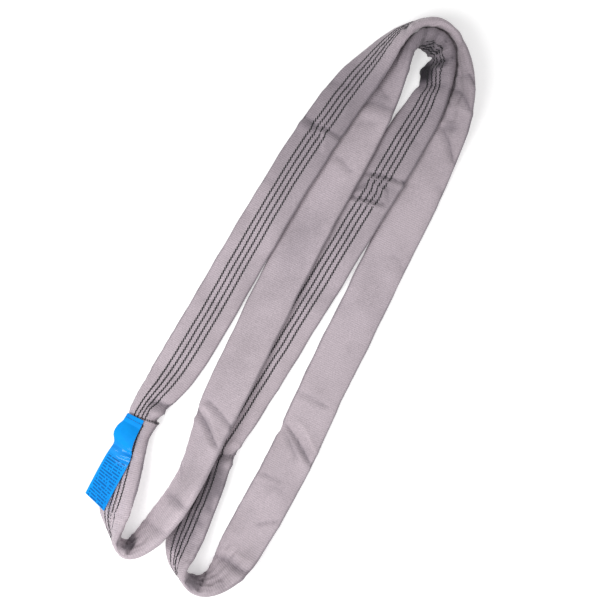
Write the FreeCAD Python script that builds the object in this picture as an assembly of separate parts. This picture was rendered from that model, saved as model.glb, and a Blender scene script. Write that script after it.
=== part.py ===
import FreeCAD, Part
import copy
import math
import os

from FreeCAD import Vector

# A 4 tonne polyester round sling, 2 m working length (4 m round the loop), laid down folded in
# half: four legs side by side, called A, B, C and D from left to right.  Millimetres, +Z up, the
# legs run along Y, the floor is z = 0.  The woven sleeve is a flat tube.  Its lined face carries
# four tonne lines and is the outside of the loop, so it is on top on legs A and C.

# ---- driving dimensions ----
LEG_WIDTH = 72.0          # the filled sleeve lying flat
LEG_THICK = 11.0
SLEEVE_WALL = 1.5
CORE_TURNS = 12           # turns of yarn in the load-bearing hank
CORE_MAX_RISE = 4.0       # half the height of one turn where the sleeve is full
CORE_FILL = 0.90          # how much of the sleeve's inner half height a turn takes
CORE_SIDE_GAP = 0.25      # between neighbouring turns
LINE_PLACES = (-0.199, -0.075, 0.048, 0.171)   # tonne lines across the sleeve, in widths
LINE_WIDTH = 2.0
LINE_DEPTH = 0.5
LINE_SIDE_GAP = 0.1
TAIL_GAP = 0.2            # round the sleeve's end tucked inside its other end at the joint
TAIL_LENGTH = 60.0
THREAD = 1.6              # joint thread round the raw edge
TAPE_ROUTE_POINT = 51     # the yarn ends are taped where leg D is straight
TAPE_SHARE = 0.7          # of the way to the next station
TAPE_THICK = 0.3
TAPE_INNER = (66.4, 7.3)
LABEL_THICK = 1.0
LABEL_GAP = 1.3           # free space under the label's sewn edge
LABEL_CREASE = 0.5        # half the bare crease between two label panels
LABEL_ROLL = 15.0         # the label leans with the sleeve under it
LABEL_PLACE = (0.35, -4)  # of the way to the next station past the joint, and across the sleeve
HEM_LENGTH = 7.0
HEM_WIDTH = 25.0
FLAP_RUN = Vector(1.0, -39.0, 2.0)        # from the sewn edge to the crease
FLAP_BULGE = -23.0        # how far the flap stands out on the left
PINCH_WIDTH = 33.0        # at the crease
STRIP_RUN = Vector(4.5, -103.0, -6.0)     # from the crease to the tip
TIP_WIDTH = 40.0
INNER_TAB = (24.0, 22.0, 0.6)     # width, length and thickness
INNER_TAB_RISE = 5.2
STITCHES = 7
STITCH = (2.2, 0.8, 0.4)
CENTRE = (14.25, 21.25)   # middle of the whole outline, moved to the origin

# ---- the route round the loop ----
# x, y of the sleeve's middle, roll of its section in degrees, width and thickness.  Roll 0 lies
# flat with the lined face up, 90 stands on edge, 180 lies flat with the lined face down.
ROUTE = [
    (-107, -285, 13, 48, 21),
    (-101, -315, 17, 54, 18),
    (-91, -355, 26, 66, 13),
    (-77, -397, 36, 70, 12),
    (-63, -430, 56, 68, 13),
    (-46, -453, 82, 62, 14),
    (-22, -455, 102, 60, 15),
    (-10, -432, 124, 62, 14),
    (-1, -393, 131, 66, 13),
    (5, -350, 131, 66, 13),
    (5, -308, 131, 66, 13),
    (0, -268, 138, 68, 12),
    (-7, -225, 146, 70, 12),
    (-13, -175, 156, LEG_WIDTH, LEG_THICK),
    (-17, -115, 163, LEG_WIDTH, LEG_THICK),
    (-22, -45, 164, LEG_WIDTH, LEG_THICK),
    (-27, 30, 165, LEG_WIDTH, LEG_THICK),
    (-31, 110, 167, 70, 11),
    (-33, 190, 169, 70, 11),
    (-34, 270, 170, 70, 11),
    (-38, 340, 168, 68, 11),
    (-43, 390, 156, 66, 12),
    (-46, 428, 138, 60, 14),
    (-38, 454, 110, 56, 17),
    (-18, 470, 72, 58, 17),
    (6, 469, 59, 58, 17),
    (23, 448, 45, 52, 18),
    (31, 410, 28, 58, 14),
    (33, 370, 16, 66, 12),
    (31, 310, 12, 70, 11),
    (30, 230, 12, LEG_WIDTH, LEG_THICK),
    (27, 150, 9, LEG_WIDTH, LEG_THICK),
    (25, 75, 3, LEG_WIDTH, LEG_THICK),
    (23, 0, 0, LEG_WIDTH, LEG_THICK),
    (21, -70, 0, LEG_WIDTH, LEG_THICK),
    (18, -140, 0, LEG_WIDTH, LEG_THICK),
    (17, -200, 2, 70, 11),
    (17, -245, 10, 58, 13),
    (26, -285, 15, 58, 13),
    (34, -325, 16, 60, 13),
    (39, -365, 18, 64, 12),
    (44, -405, 28, 66, 12),
    (55, -437, 58, 64, 13),
    (76, -449, 86, 60, 14),
    (100, -448, 102, 60, 14),
    (117, -431, 120, 62, 14),
    (126, -400, 144, 68, 13),
    (128, -355, 170, LEG_WIDTH, LEG_THICK),
    (128, -290, 180, LEG_WIDTH, LEG_THICK),
    (127, -220, 180, LEG_WIDTH, LEG_THICK),
    (121, -150, 180, LEG_WIDTH, LEG_THICK),
    (114, -80, 180, LEG_WIDTH, LEG_THICK),
    (109, 0, 180, LEG_WIDTH, LEG_THICK),
    (104, 80, 180, LEG_WIDTH, LEG_THICK),
    (98, 165, 180, LEG_WIDTH, LEG_THICK),
    (92, 250, 180, LEG_WIDTH, LEG_THICK),
    (84, 325, 174, LEG_WIDTH, LEG_THICK),
    (77, 380, 152, 70, 12),
    (69, 425, 124, 66, 13),
    (50, 462, 104, 62, 13),
    (22, 490, 94, 60, 11),
    (-10, 500, 88, 60, 11),
    (-43, 484, 76, 60, 11),
    (-63, 446, 60, 64, 11),
    (-72, 395, 38, 68, 12),
    (-83, 345, 18, 70, 11),
    (-90, 285, 12, 70, 11),
    (-95, 205, 12, LEG_WIDTH, LEG_THICK),
    (-97, 125, 12, LEG_WIDTH, LEG_THICK),
    (-98, 50, 6, LEG_WIDTH, LEG_THICK),
    (-98, -20, 0, LEG_WIDTH, LEG_THICK),
    (-98, -90, 0, LEG_WIDTH, LEG_THICK),
    (-99, -150, 0, LEG_WIDTH, LEG_THICK),
    (-102, -198, 2, 68, 12),
    (-109, -235, 7, 54, 17),
    (-110, -262, 12, 47, 20),
]

TURN_STEP = 14.0          # a station at least every so many degrees of turn
STRETCH_TURN = 40.0       # a stretch of the sleeve turns and twists at most this much
STRETCH_LENGTH = 260.0    # and is at most about this long
LABEL_STATIONS = 5        # under the label the sleeve is divided at each station


class Station:
    """One cross-section of the sleeve: its middle, its directions and its size."""

    def __init__(self, here, heading, route_point):
        x, y, self.roll, self.width, self.thick = here
        self.route_point = route_point
        roll = math.radians(self.roll)
        self.along = Vector(heading[0], heading[1], 0).normalize()
        left = Vector(-self.along.y, self.along.x, 0)
        up = Vector(0, 0, 1)
        self.across = left * math.cos(roll) + up * math.sin(roll)
        self.out = self.along.cross(self.across)
        rise = (self.width - self.thick) / 2 * abs(math.sin(roll)) + self.thick / 2
        self.middle = Vector(x - CENTRE[0], y - CENTRE[1], rise)

    def point(self, u, v):
        """u runs across the sleeve, v out of its lined face."""
        return self.middle + self.across * u + self.out * v


def between(first, second, share):
    """The cross-section on the straight rulings from one station to the next."""
    place = copy.copy(first)
    for name in ("middle", "across", "out", "width", "thick"):
        a, b = getattr(first, name), getattr(second, name)
        setattr(place, name, a + (b - a) * share)
    return place


def halfway(a, b):
    return tuple((p + q) / 2 for p, q in zip(a, b))


def bend(start, corner, end, t):
    """A point of the smooth curve from start to end that heads for corner first."""
    return tuple((1 - t) ** 2 * a + 2 * t * (1 - t) * b + t * t * c for a, b, c in zip(start, corner, end))


def heading(start, corner, end, t):
    return tuple((1 - t) * (b - a) + t * (c - b) for a, b, c in zip(start[:2], corner[:2], end[:2]))


def turn_between(first, second):
    """Degrees from one plan direction to another."""
    cross = first[0] * second[1] - first[1] * second[0]
    dot = first[0] * second[0] + first[1] * second[1]
    return abs(math.degrees(math.atan2(cross, dot)))


def make_stations():
    """Stations round the whole loop, from the joint back to the joint."""
    found = []
    for i, corner in enumerate(ROUTE):
        start = halfway(ROUTE[i - 1], corner)
        end = halfway(corner, ROUTE[(i + 1) % len(ROUTE)])
        steps = 1 + int(turn_between(heading(start, corner, end, 0), heading(start, corner, end, 1)) / TURN_STEP)
        for k in range(steps):
            t = k / steps
            found.append(Station(bend(start, corner, end, t), heading(start, corner, end, t), i))
    return found


def stadium(place, width, thick, notched=False):
    """The edges of a flat ring at a station, with a notch for each tonne line on the lined face."""
    flat = (width - thick) / 2
    r = thick / 2
    corners = [place.point(-flat, r)]
    if notched:
        for share in LINE_PLACES:
            u = share * place.width
            half = LINE_WIDTH / 2 + LINE_SIDE_GAP
            corners += [place.point(u - half, r), place.point(u - half, r - LINE_DEPTH)]
            corners += [place.point(u + half, r - LINE_DEPTH), place.point(u + half, r)]
    corners.append(place.point(flat, r))
    edges = [Part.LineSegment(a, b).toShape() for a, b in zip(corners, corners[1:])]
    low_right = place.point(flat, -r)
    low_left = place.point(-flat, -r)
    edges.append(Part.Arc(corners[-1], place.point(flat + r, 0), low_right).toShape())
    edges.append(Part.LineSegment(low_right, low_left).toShape())
    edges.append(Part.Arc(low_left, place.point(-flat - r, 0), corners[0]).toShape())
    return edges


def polygon(points):
    """The edges of a closed outline through the points."""
    return [Part.LineSegment(a, b).toShape() for a, b in zip(points, points[1:] + points[:1])]


def panel(first, second):
    """The face between two matching edges, a flat one where their four ends allow it."""
    a, b = first.Vertexes[0].Point, first.Vertexes[-1].Point
    c, d = second.Vertexes[-1].Point, second.Vertexes[0].Point
    straight = isinstance(first.Curve, Part.Line)
    if straight and abs((b - a).cross(d - a).normalize().dot(c - a)) < 1e-7:
        return Part.Face(Part.makePolygon([a, b, c, d, a]))
    return Part.makeRuledSurface(first, second)


def skin(rings):
    """The faces between each ring of edges and the next."""
    return [panel(a, b) for first, second in zip(rings, rings[1:]) for a, b in zip(first, second)]


def closed_solid(faces):
    shell = Part.Shell(faces)
    shell.sewShape()
    solid = Part.Solid(shell)
    if solid.Volume < 0:
        solid.reverse()
    return solid


def tube(outer, inner):
    """A hollow solid between two rows of rings, closed at both ends."""
    ends = [Part.Face([Part.Wire(outer[k]), Part.Wire(inner[k])]) for k in (0, -1)]
    solid = closed_solid(skin(outer) + skin(inner) + ends)
    solid.fix(1e-6, 1e-6, 1e-6)
    return solid


def bar(rings):
    """A full solid along a row of rings."""
    return closed_solid(skin(rings) + [Part.Face(Part.Wire(rings[k])) for k in (0, -1)])


def endless(rings):
    """A full solid along a row of rings that comes back to its first ring."""
    return closed_solid(skin(rings + rings[:1]))


def save(shape, name):
    os.makedirs("parts", exist_ok=True)
    shape.exportStep("parts/" + name + ".step")
    print(name, len(shape.Solids), "solids", round(shape.Volume), "mm3", "valid" if shape.isValid() else "INVALID")


# ---- the sleeve ----
def tail_size(place):
    """The sleeve's tucked end fits inside its other end."""
    less = 2 * (SLEEVE_WALL + TAIL_GAP)
    return place.width - less, place.thick - less


def sleeve_rings(places, sizes):
    """Outer and inner rings of the woven wall."""
    outer = [stadium(p, w, t, True) for p, (w, t) in zip(places, sizes)]
    inner = [stadium(p, w - 2 * SLEEVE_WALL, t - 2 * SLEEVE_WALL) for p, (w, t) in zip(places, sizes)]
    return outer, inner


def stretch_ends(loop):
    """Where the sleeve is divided into nearly straight stretches, as station numbers."""
    ends = [0]
    turned = run = 0.0
    for k in range(1, len(loop) - 1):
        before, here, after = (loop[k + step].middle for step in (-1, 0, 1))
        turned += turn_between(here - before, after - here) + abs(loop[k].roll - loop[k - 1].roll)
        run += (here - before).Length
        if k <= LABEL_STATIONS or turned > STRETCH_TURN or run > STRETCH_LENGTH:
            ends.append(k)
            turned = run = 0.0
    return ends + [len(loop) - 1]


def tucked_places(loop, before_joint):
    """Stations of the tucked end, from just before the joint to TAIL_LENGTH past it."""
    places = [before_joint, loop[0]]
    run = 0.0
    for a, b in zip(loop, loop[1:]):
        step = (b.middle - a.middle).Length
        if run + step >= TAIL_LENGTH:
            return places + [between(a, b, (TAIL_LENGTH - run) / step)]
        places.append(b)
        run += step


def make_sleeve(loop, before_joint):
    ends = stretch_ends(loop)
    solids = []
    for first, last in zip(ends[:-2], ends[1:-1]):
        places = loop[first:last + 1]
        solids.append(tube(*sleeve_rings(places, [(p.width, p.thick) for p in places])))
    full = loop[ends[-2]:-1]
    tucked = tucked_places(loop, before_joint)
    sizes = [(p.width, p.thick) for p in full] + [tail_size(p) for p in tucked]
    solids.append(tube(*sleeve_rings(full + tucked, sizes)))
    return Part.makeCompound(solids)


def make_tonne_line(places, sizes, share):
    rings = []
    for place, (width, thick) in zip(places, sizes):
        corners = [(-1, -LINE_DEPTH), (1, -LINE_DEPTH), (1, 0), (-1, 0)]
        u = share * width
        rings.append(polygon([place.point(u + s * LINE_WIDTH / 2, thick / 2 + v) for s, v in corners]))
    return bar(rings)


def make_joint_thread(before_joint, joint):
    """Thread wound over the raw edge of the outer end."""
    places = [before_joint, joint]
    outer = [stadium(p, joint.width - TAIL_GAP, joint.thick - TAIL_GAP) for p in places]
    inner = [stadium(p, *tail_size(p)) for p in places]
    return tube(outer, inner)


# ---- the core ----
def core_turn_ring(place, number):
    """One turn of the hank: all turns lie side by side in the sleeve."""
    room = place.width - place.thick + 0.6 * (place.thick - 2 * SLEEVE_WALL)
    pitch = room / CORE_TURNS
    u = (number - (CORE_TURNS - 1) / 2) * pitch
    a = pitch / 2 - CORE_SIDE_GAP / 2
    b = min(CORE_FILL * (place.thick / 2 - SLEEVE_WALL), CORE_MAX_RISE)
    angles = [math.radians(22.5 + 45 * k) for k in range(8)]
    return polygon([place.point(u + a * math.cos(t), b * math.sin(t)) for t in angles])


def make_core_turn(loop, number):
    return endless([core_turn_ring(place, number) for place in loop[:-1]])


def make_core_tape(start, end):
    """Tape round the hank, over the joined ends of the yarn."""
    places = [start, between(start, end, TAPE_SHARE)]
    width, thick = TAPE_INNER
    outer = [stadium(p, width + 2 * TAPE_THICK, thick + 2 * TAPE_THICK) for p in places]
    return tube(outer, [stadium(p, width, thick) for p in places])


# ---- the label ----
class LabelLine:
    """A line across the label's top face: its middle, its direction and the run to the next one."""

    def __init__(self, middle, run):
        roll = math.radians(LABEL_ROLL)
        self.middle = middle
        self.across = Vector(math.cos(roll), 0, math.sin(roll))
        self.length = run.Length
        self.down = run / run.Length
        self.out = self.down.cross(self.across).normalize()

    def point(self, u, down, depth):
        return self.middle + self.across * u + self.down * down - self.out * depth

    def end(self):
        return self.middle + self.down * self.length


def label_lines(joint, after):
    """The sewn edge and the crease, about which the label's panels turn."""
    share, side = LABEL_PLACE
    place = between(joint, after, share)
    start = place.point(side, place.thick / 2) + Vector(0, 0, LABEL_GAP + LABEL_THICK)
    sewn = LabelLine(start, FLAP_RUN)
    return sewn, LabelLine(sewn.end(), STRIP_RUN)


def plate(line, outline, low=LABEL_THICK, high=0.0):
    """A flat panel between two depths, from its outline of places across and down the label."""
    return bar([polygon([line.point(u, down, depth) for u, down in outline]) for depth in (low, high)])


def make_hem(sewn):
    half = HEM_WIDTH / 2
    low = -HEM_LENGTH - LABEL_CREASE
    return plate(sewn, [(-half, low), (half, low), (half, -LABEL_CREASE), (-half, -LABEL_CREASE)])


def make_flap(sewn):
    half = HEM_WIDTH / 2
    pinch = PINCH_WIDTH / 2
    end = sewn.length - LABEL_CREASE
    outline = [(-half, LABEL_CREASE), (half, LABEL_CREASE), (pinch, end), (-pinch, end)]
    return plate(sewn, outline + [(FLAP_BULGE, 0.7 * end), (FLAP_BULGE, 0.4 * end)])


def make_strip(crease):
    pinch = PINCH_WIDTH / 2
    tip = TIP_WIDTH / 2
    end = crease.length
    return plate(crease, [(-pinch, LABEL_CREASE), (pinch, LABEL_CREASE), (tip, end), (-tip, end)])


def make_label_stitches(sewn):
    """A row of stitches along the hem."""
    long, wide, high = STITCH
    pitch = (HEM_WIDTH - 2 * long) / (STITCHES - 1)
    middle = -LABEL_CREASE - HEM_LENGTH / 2
    row = []
    for k in range(STITCHES):
        u = (k - (STITCHES - 1) / 2) * pitch
        sides = [(-1, -1), (1, -1), (1, 1), (-1, 1)]
        outline = [(u + s * long / 2, middle + t * wide / 2) for s, t in sides]
        row.append(plate(sewn, outline, 0.0, -high))
    return Part.makeCompound(row)


def make_inner_tab(joint, after):
    """The copy of the label sewn in under the sleeve, on top of the hank."""
    width, length, thick = INNER_TAB
    places = [joint, between(joint, after, length / (after.middle - joint.middle).Length)]
    sides = [(-1, 0), (1, 0), (1, 1), (-1, 1)]
    return bar([polygon([p.point(s * width / 2, INNER_TAB_RISE + t * thick) for s, t in sides]) for p in places])


def main():
    loop = make_stations()
    loop.append(loop[0])
    joint = loop[0]
    step = (joint.middle - loop[-2].middle).Length
    before_joint = between(loop[-2], joint, 1 - THREAD / step)
    print("loop length", round(sum((b.middle - a.middle).Length for a, b in zip(loop, loop[1:]))), "mm")

    save(make_sleeve(loop, before_joint), "cover_sleeve")
    line_places = loop[:-1] + [before_joint]
    line_sizes = [(p.width, p.thick) for p in loop[:-1]] + [tail_size(before_joint)]
    for number, share in enumerate(LINE_PLACES, 1):
        save(make_tonne_line(line_places, line_sizes, share), "tonne_line_" + str(number))
    save(make_joint_thread(before_joint, joint), "joint_thread")
    for number in range(CORE_TURNS):
        save(make_core_turn(loop, number), "core_turn_%02d" % (number + 1))
    tape_start = next(k for k, p in enumerate(loop) if p.route_point == TAPE_ROUTE_POINT)
    save(make_core_tape(loop[tape_start], loop[tape_start + 1]), "core_tape")

    sewn, crease = label_lines(joint, loop[1])
    for line in (sewn, crease):
        print("label turns at", *(round(c, 2) for c in line.middle), "about", *(round(c, 4) for c in line.across))
    save(make_hem(sewn), "label_hem")
    save(make_flap(sewn), "label_flap")
    save(make_strip(crease), "label_strip")
    save(make_label_stitches(sewn), "label_stitches")
    save(make_inner_tab(joint, loop[1]), "label_inner_tab")


if __name__ == "__main__":
    main()
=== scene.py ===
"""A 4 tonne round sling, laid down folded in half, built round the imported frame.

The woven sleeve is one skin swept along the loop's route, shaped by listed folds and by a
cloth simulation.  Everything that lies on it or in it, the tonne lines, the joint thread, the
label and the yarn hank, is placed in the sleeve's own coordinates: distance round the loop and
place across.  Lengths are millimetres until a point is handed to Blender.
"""

import math

import bmesh
import bpy
import numpy as np
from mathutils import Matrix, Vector, noise


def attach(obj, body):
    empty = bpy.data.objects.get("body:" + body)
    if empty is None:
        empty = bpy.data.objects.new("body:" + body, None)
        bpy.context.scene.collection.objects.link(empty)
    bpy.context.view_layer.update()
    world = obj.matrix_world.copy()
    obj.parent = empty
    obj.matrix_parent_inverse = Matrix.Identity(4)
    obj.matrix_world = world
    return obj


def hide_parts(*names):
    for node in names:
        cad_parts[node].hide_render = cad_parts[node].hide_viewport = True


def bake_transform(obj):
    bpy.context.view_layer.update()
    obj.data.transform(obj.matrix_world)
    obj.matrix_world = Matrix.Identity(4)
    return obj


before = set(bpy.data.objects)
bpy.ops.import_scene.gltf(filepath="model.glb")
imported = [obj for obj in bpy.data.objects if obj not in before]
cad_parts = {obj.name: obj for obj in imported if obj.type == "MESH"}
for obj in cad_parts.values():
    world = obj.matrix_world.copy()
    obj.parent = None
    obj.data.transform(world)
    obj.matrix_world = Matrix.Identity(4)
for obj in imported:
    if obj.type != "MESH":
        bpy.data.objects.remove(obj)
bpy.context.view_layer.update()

MM = 0.001
CENTRE = (14.25, 21.25)   # middle of the sling's outline in the route's own coordinates

# x, y of the sleeve's middle, roll of its section in degrees, width and thickness, from the joint
# round to the joint.  Roll 0 lies flat with the lined face up, 90 stands on edge.
ROUTE = [
    (-107, -285, 13, 48, 21), (-101, -315, 17, 54, 18), (-91, -355, 26, 66, 13),
    (-77, -397, 36, 70, 12), (-63, -430, 56, 68, 13), (-46, -453, 82, 62, 14),
    (-22, -455, 102, 60, 15), (-10, -432, 124, 62, 14), (-1, -393, 131, 66, 13),
    (5, -350, 131, 66, 13), (5, -308, 131, 66, 13), (0, -268, 138, 68, 12),
    (-7, -225, 146, 70, 12), (-13, -175, 156, 72, 11), (-17, -115, 163, 72, 11),
    (-22, -45, 164, 72, 11), (-27, 30, 165, 72, 11), (-31, 110, 167, 70, 11),
    (-33, 190, 169, 70, 11), (-34, 270, 170, 70, 11), (-38, 340, 168, 68, 11),
    (-43, 390, 156, 66, 12), (-46, 428, 138, 60, 14), (-38, 454, 110, 56, 17),
    (-18, 470, 72, 58, 17), (6, 469, 59, 58, 17), (23, 448, 45, 52, 18),
    (31, 410, 28, 58, 14), (33, 370, 16, 66, 12), (31, 310, 12, 70, 11),
    (30, 230, 12, 72, 11), (27, 150, 9, 72, 11), (25, 75, 3, 72, 11),
    (23, 0, 0, 72, 11), (21, -70, 0, 72, 11), (18, -140, 0, 72, 11),
    (17, -200, 2, 70, 11), (17, -245, 10, 58, 13), (26, -285, 15, 58, 13),
    (34, -325, 16, 60, 13), (39, -365, 18, 64, 12), (44, -405, 28, 66, 12),
    (55, -437, 58, 64, 13), (76, -449, 86, 60, 14), (100, -448, 102, 60, 14),
    (117, -431, 120, 62, 14), (126, -400, 144, 68, 13), (128, -355, 170, 72, 11),
    (128, -290, 180, 72, 11), (127, -220, 180, 72, 11), (121, -150, 180, 72, 11),
    (114, -80, 180, 72, 11), (109, 0, 180, 72, 11), (104, 80, 180, 72, 11),
    (98, 165, 180, 72, 11), (92, 250, 180, 72, 11), (84, 325, 174, 72, 11),
    (77, 380, 152, 70, 12), (69, 425, 124, 66, 13), (50, 462, 104, 62, 13),
    (22, 490, 94, 60, 11), (-10, 500, 88, 60, 11), (-43, 484, 76, 60, 11),
    (-63, 446, 60, 64, 11), (-72, 395, 38, 68, 12), (-83, 345, 18, 70, 11),
    (-90, 285, 12, 70, 11), (-95, 205, 12, 72, 11), (-97, 125, 12, 72, 11),
    (-98, 50, 6, 72, 11), (-98, -20, 0, 72, 11), (-98, -90, 0, 72, 11),
    (-99, -150, 0, 72, 11), (-102, -198, 2, 68, 12), (-109, -235, 7, 54, 17),
    (-110, -262, 12, 47, 20),
]
# The route points that each leg, A to D, and each bend between two legs lies between.
LEG_SPANS = {"A": (64, 76), "AB": (3, 9), "B": (7, 23), "BC": (21, 29), "C": (26, 42), "CD": (41, 48),
             "D": (45, 59), "DA": (58, 66)}

# Folds pressed into the top of a leg: leg, from, to, depth and half width.  A negative depth is
# a raised welt.
FOLDS = [
    ("A", (-95, 268), (-58, 270), 3.8, 4.5), ("A", (-86, 260), (-70, 238), -2.8, 5),
    ("A", (-130, 270), (-96, 267), 2.8, 6), ("A", (-108, -238), (-72, -228), 4.5, 8),
    ("A", (-96, -252), (-78, -240), -2.0, 7), ("A", (-134, 150), (-112, 158), 1.2, 8),
    ("A", (-128, 330), (-84, 350), 1.4, 9), ("A", (-120, -60), (-90, -50), 0.9, 10),
    ("B", (-42, -215), (16, -243), 4.8, 4.5), ("B", (-34, -203), (8, -225), -2.6, 7),
    ("B", (-34, -193), (28, -206), 3.4, 5), ("B", (-52, 240), (-16, 233), 2.4, 7),
    ("B", (-56, 336), (-8, 349), 3.0, 8), ("B", (-52, 368), (-26, 360), 2.2, 6),
    ("B", (-12, -352), (24, -346), 2.2, 8), ("B", (-46, 302), (-20, 318), 1.4, 8),
    ("B", (-30, -410), (14, -396), 2.2, 8), ("B", (-24, -300), (-6, -318), 1.6, 7),
    ("C", (6, 243), (66, 260), 4.8, 4), ("C", (-2, 197), (52, 214), 4.6, 4),
    ("C", (14, 226), (50, 232), -2.6, 8), ("C", (-1, 205), (13, 229), 2.6, 4),
    ("C", (40, 238), (58, 220), 2.4, 4), ("C", (20, -262), (52, -244), 4.1, 6),
    ("C", (30, -236), (52, -228), -1.8, 6), ("C", (28, -340), (60, -332), 1.6, 8),
    ("C", (12, 402), (44, 420), 2.4, 8), ("C", (14, 330), (54, 322), 1.2, 9),
    ("D", (50, 447), (84, 441), 4.6, 5), ("D", (58, 422), (96, 403), 4.0, 6),
    ("D", (64, 392), (102, 400), -2.2, 9), ("D", (72, 360), (116, 326), 3.8, 6),
    ("D", (64, 366), (88, 376), -2.6, 3), ("D", (95, -165), (160, -198), 4.8, 4.5),
    ("D", (110, -152), (158, -178), -2.2, 7), ("D", (96, -176), (134, -200), 2.8, 4),
    ("D", (86, -110), (134, -106), 2.0, 4.5), ("D", (96, -250), (132, -244), 2.4, 3.5),
    ("D", (132, -322), (158, -300), 2.8, 3.5), ("D", (101, -398), (154, -387), 3.6, 6),
    ("D", (106, -384), (152, -372), -2.0, 8), ("D", (120, -262), (140, -256), 1.4, 6),
    ("D", (104, 150), (134, 140), 1.0, 9), ("D", (110, 280), (140, 262), 1.4, 8),
    ("BC", (-26, 476), (-16, 444), 3.0, 4), ("BC", (-8, 484), (-6, 446), 2.6, 4),
    ("BC", (10, 480), (4, 446), 2.8, 4), ("BC", (34, 462), (6, 440), 4.2, 5),
    ("BC", (22, 474), (6, 448), -1.6, 4), ("BC", (36, 446), (10, 432), -2.2, 5),
    ("AB", (-43, -430), (-38, -448), 3.8, 4), ("AB", (-31, -438), (-24, -458), -2.0, 4),
    ("AB", (-24, -434), (-20, -451), 4.6, 3.5), ("AB", (-66, -444), (-54, -456), 0.7, 6),
    ("CD", (97, -426), (102, -446), 4.4, 3.5), ("CD", (108, -428), (112, -446), -1.4, 4),
    ("CD", (124, -418), (136, -426), 1.8, 6), ("CD", (78, -434), (80, -446), 2.6, 3.5),
    ("DA", (-60, 470), (-50, 452), 1.8, 6), ("DA", (30, 500), (34, 478), 1.8, 6),
]

AROUND = 60               # points round the section
FINE_STEP = 2.5           # between rings in the bends
PLAIN_STEP = 3.5          # and along the legs
TURN_REACH = 40.0         # a bend of this radius takes the finest rings,
ROLL_REACH = 60.0         # and so does a roll of one radian over this length
STATION_STEP = 0.02       # between the loop's stations, in route points
LIE_DOWN = 0.7            # how limply a leaning leg lies over what is under it
LINE_PLACES = (-0.199, -0.075, 0.048, 0.171)   # tonne lines across the sleeve, in widths
SEED = 4
SEED_GAP = 17.3           # between the noise of one seed and the next


# ---- small mathematics ----
def wobble(seed, *coordinates):
    """A smooth random number, from -1 to 1, for each row of coordinates."""
    columns = np.broadcast_arrays(*coordinates)
    flat = [column.ravel() for column in columns] + [np.zeros(columns[0].size)] * (2 - len(columns))
    found = [noise.noise(Vector((a, b, SEED + SEED_GAP * seed))) for a, b in zip(*flat)]
    return np.array(found).reshape(columns[0].shape)


def smooth_step(x):
    """From 0 to 1 with no corners as x goes from 0 to 1."""
    x = np.clip(x, 0, 1)
    return x * x * (3 - 2 * x)


def unit(v):
    return v / np.linalg.norm(v, axis=-1, keepdims=True)


# ---- the loop ----
class Loop:
    """The sleeve's stations, close together, and the way from (distance, across, out) to a point."""

    def __init__(self):
        route = np.array(ROUTE, float)
        route[:, :2] -= CENTRE
        start = (np.roll(route, 1, 0) + route) / 2
        end = (route + np.roll(route, -1, 0)) / 2
        t = np.arange(0, 1, STATION_STEP)[:, None]
        rows = [(1 - t) ** 2 * a + 2 * t * (1 - t) * b + t * t * c for a, b, c in zip(start, route, end)]
        heads = [(1 - t) * (b - a)[:2] + t * (c - b)[:2] for a, b, c in zip(start, route, end)]
        rows = np.vstack(rows + [rows[0][:1]])
        self.heading = unit(np.vstack(heads + [heads[0][:1]]))
        points = np.repeat(np.arange(len(route)), len(t)) + np.tile(t[:, 0], len(route))
        self.point = np.append(points, len(route))
        x, y, roll, self.width, self.thick = rows.T
        self.roll = np.radians(roll)
        rise = (self.width - self.thick) / 2 * np.abs(np.sin(self.roll)) + self.thick / 2
        self.middle = np.column_stack([x, y, rise])
        steps = np.linalg.norm(np.diff(self.middle, axis=0), axis=1)
        self.s = np.append(0, np.cumsum(steps))
        self.length = self.s[-1]
        angle = np.unwrap(np.arctan2(self.heading[:, 1], self.heading[:, 0]))
        self.turn = np.gradient(angle, self.s)

    def at(self, s, values):
        """A row of values at distances s."""
        s = np.mod(s, self.length)
        if values.ndim == 1:
            return np.interp(s, self.s, values)
        return np.stack([np.interp(s, self.s, column) for column in values.T], axis=-1)

    def s_of(self, route_point):
        """Distance round the loop of a route point, counted from the joint."""
        return float(np.interp(route_point, self.point, self.s))

    def near(self, s, route_point, reach):
        """1 at a route point, falling smoothly to nothing a few reaches away."""
        return np.exp(-((s - self.s_of(route_point)) / reach) ** 2)

    def place(self, s, u, v):
        """The point u across and v out of the lined face at distance s round the loop."""
        heading = unit(self.at(s, self.heading))
        roll = self.at(s, self.roll)
        width = self.at(s, self.width)
        left = np.stack([-heading[..., 1], heading[..., 0], 0 * roll], -1)
        up = np.array([0, 0, 1.0])
        across = left * np.cos(roll)[..., None] + up * np.sin(roll)[..., None]
        along = np.stack([heading[..., 0], heading[..., 1], 0 * roll], -1)
        out = np.cross(along, across)
        point = self.at(s, self.middle) + across * u[..., None] + out * v[..., None]
        # a leaning leg lies down along its low side and over its neighbour along its high side
        share = u * np.sign(across[..., 2]) / width + 0.5
        lean = width * np.abs(across[..., 2]) * np.abs(out[..., 2])
        point[..., 2] += LIE_DOWN * lean * (smooth_step(share) - np.clip(share, 0, 1))
        return point


loop = Loop()


def ring_places():
    """Distances of the rings: close together where the sleeve turns or twists."""
    busy = np.abs(loop.turn) * TURN_REACH + np.abs(np.gradient(loop.roll, loop.s)) * ROLL_REACH
    blur = np.ones(9) / 9
    step = PLAIN_STEP + (FINE_STEP - PLAIN_STEP) * np.clip(np.convolve(busy, blur, "same"), 0, 1)
    count = np.append(0, np.cumsum(np.diff(loop.s) / ((step[1:] + step[:-1]) / 2)))
    return np.interp(np.linspace(0, count[-1], int(round(count[-1])) + 1), count, loop.s)


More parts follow.
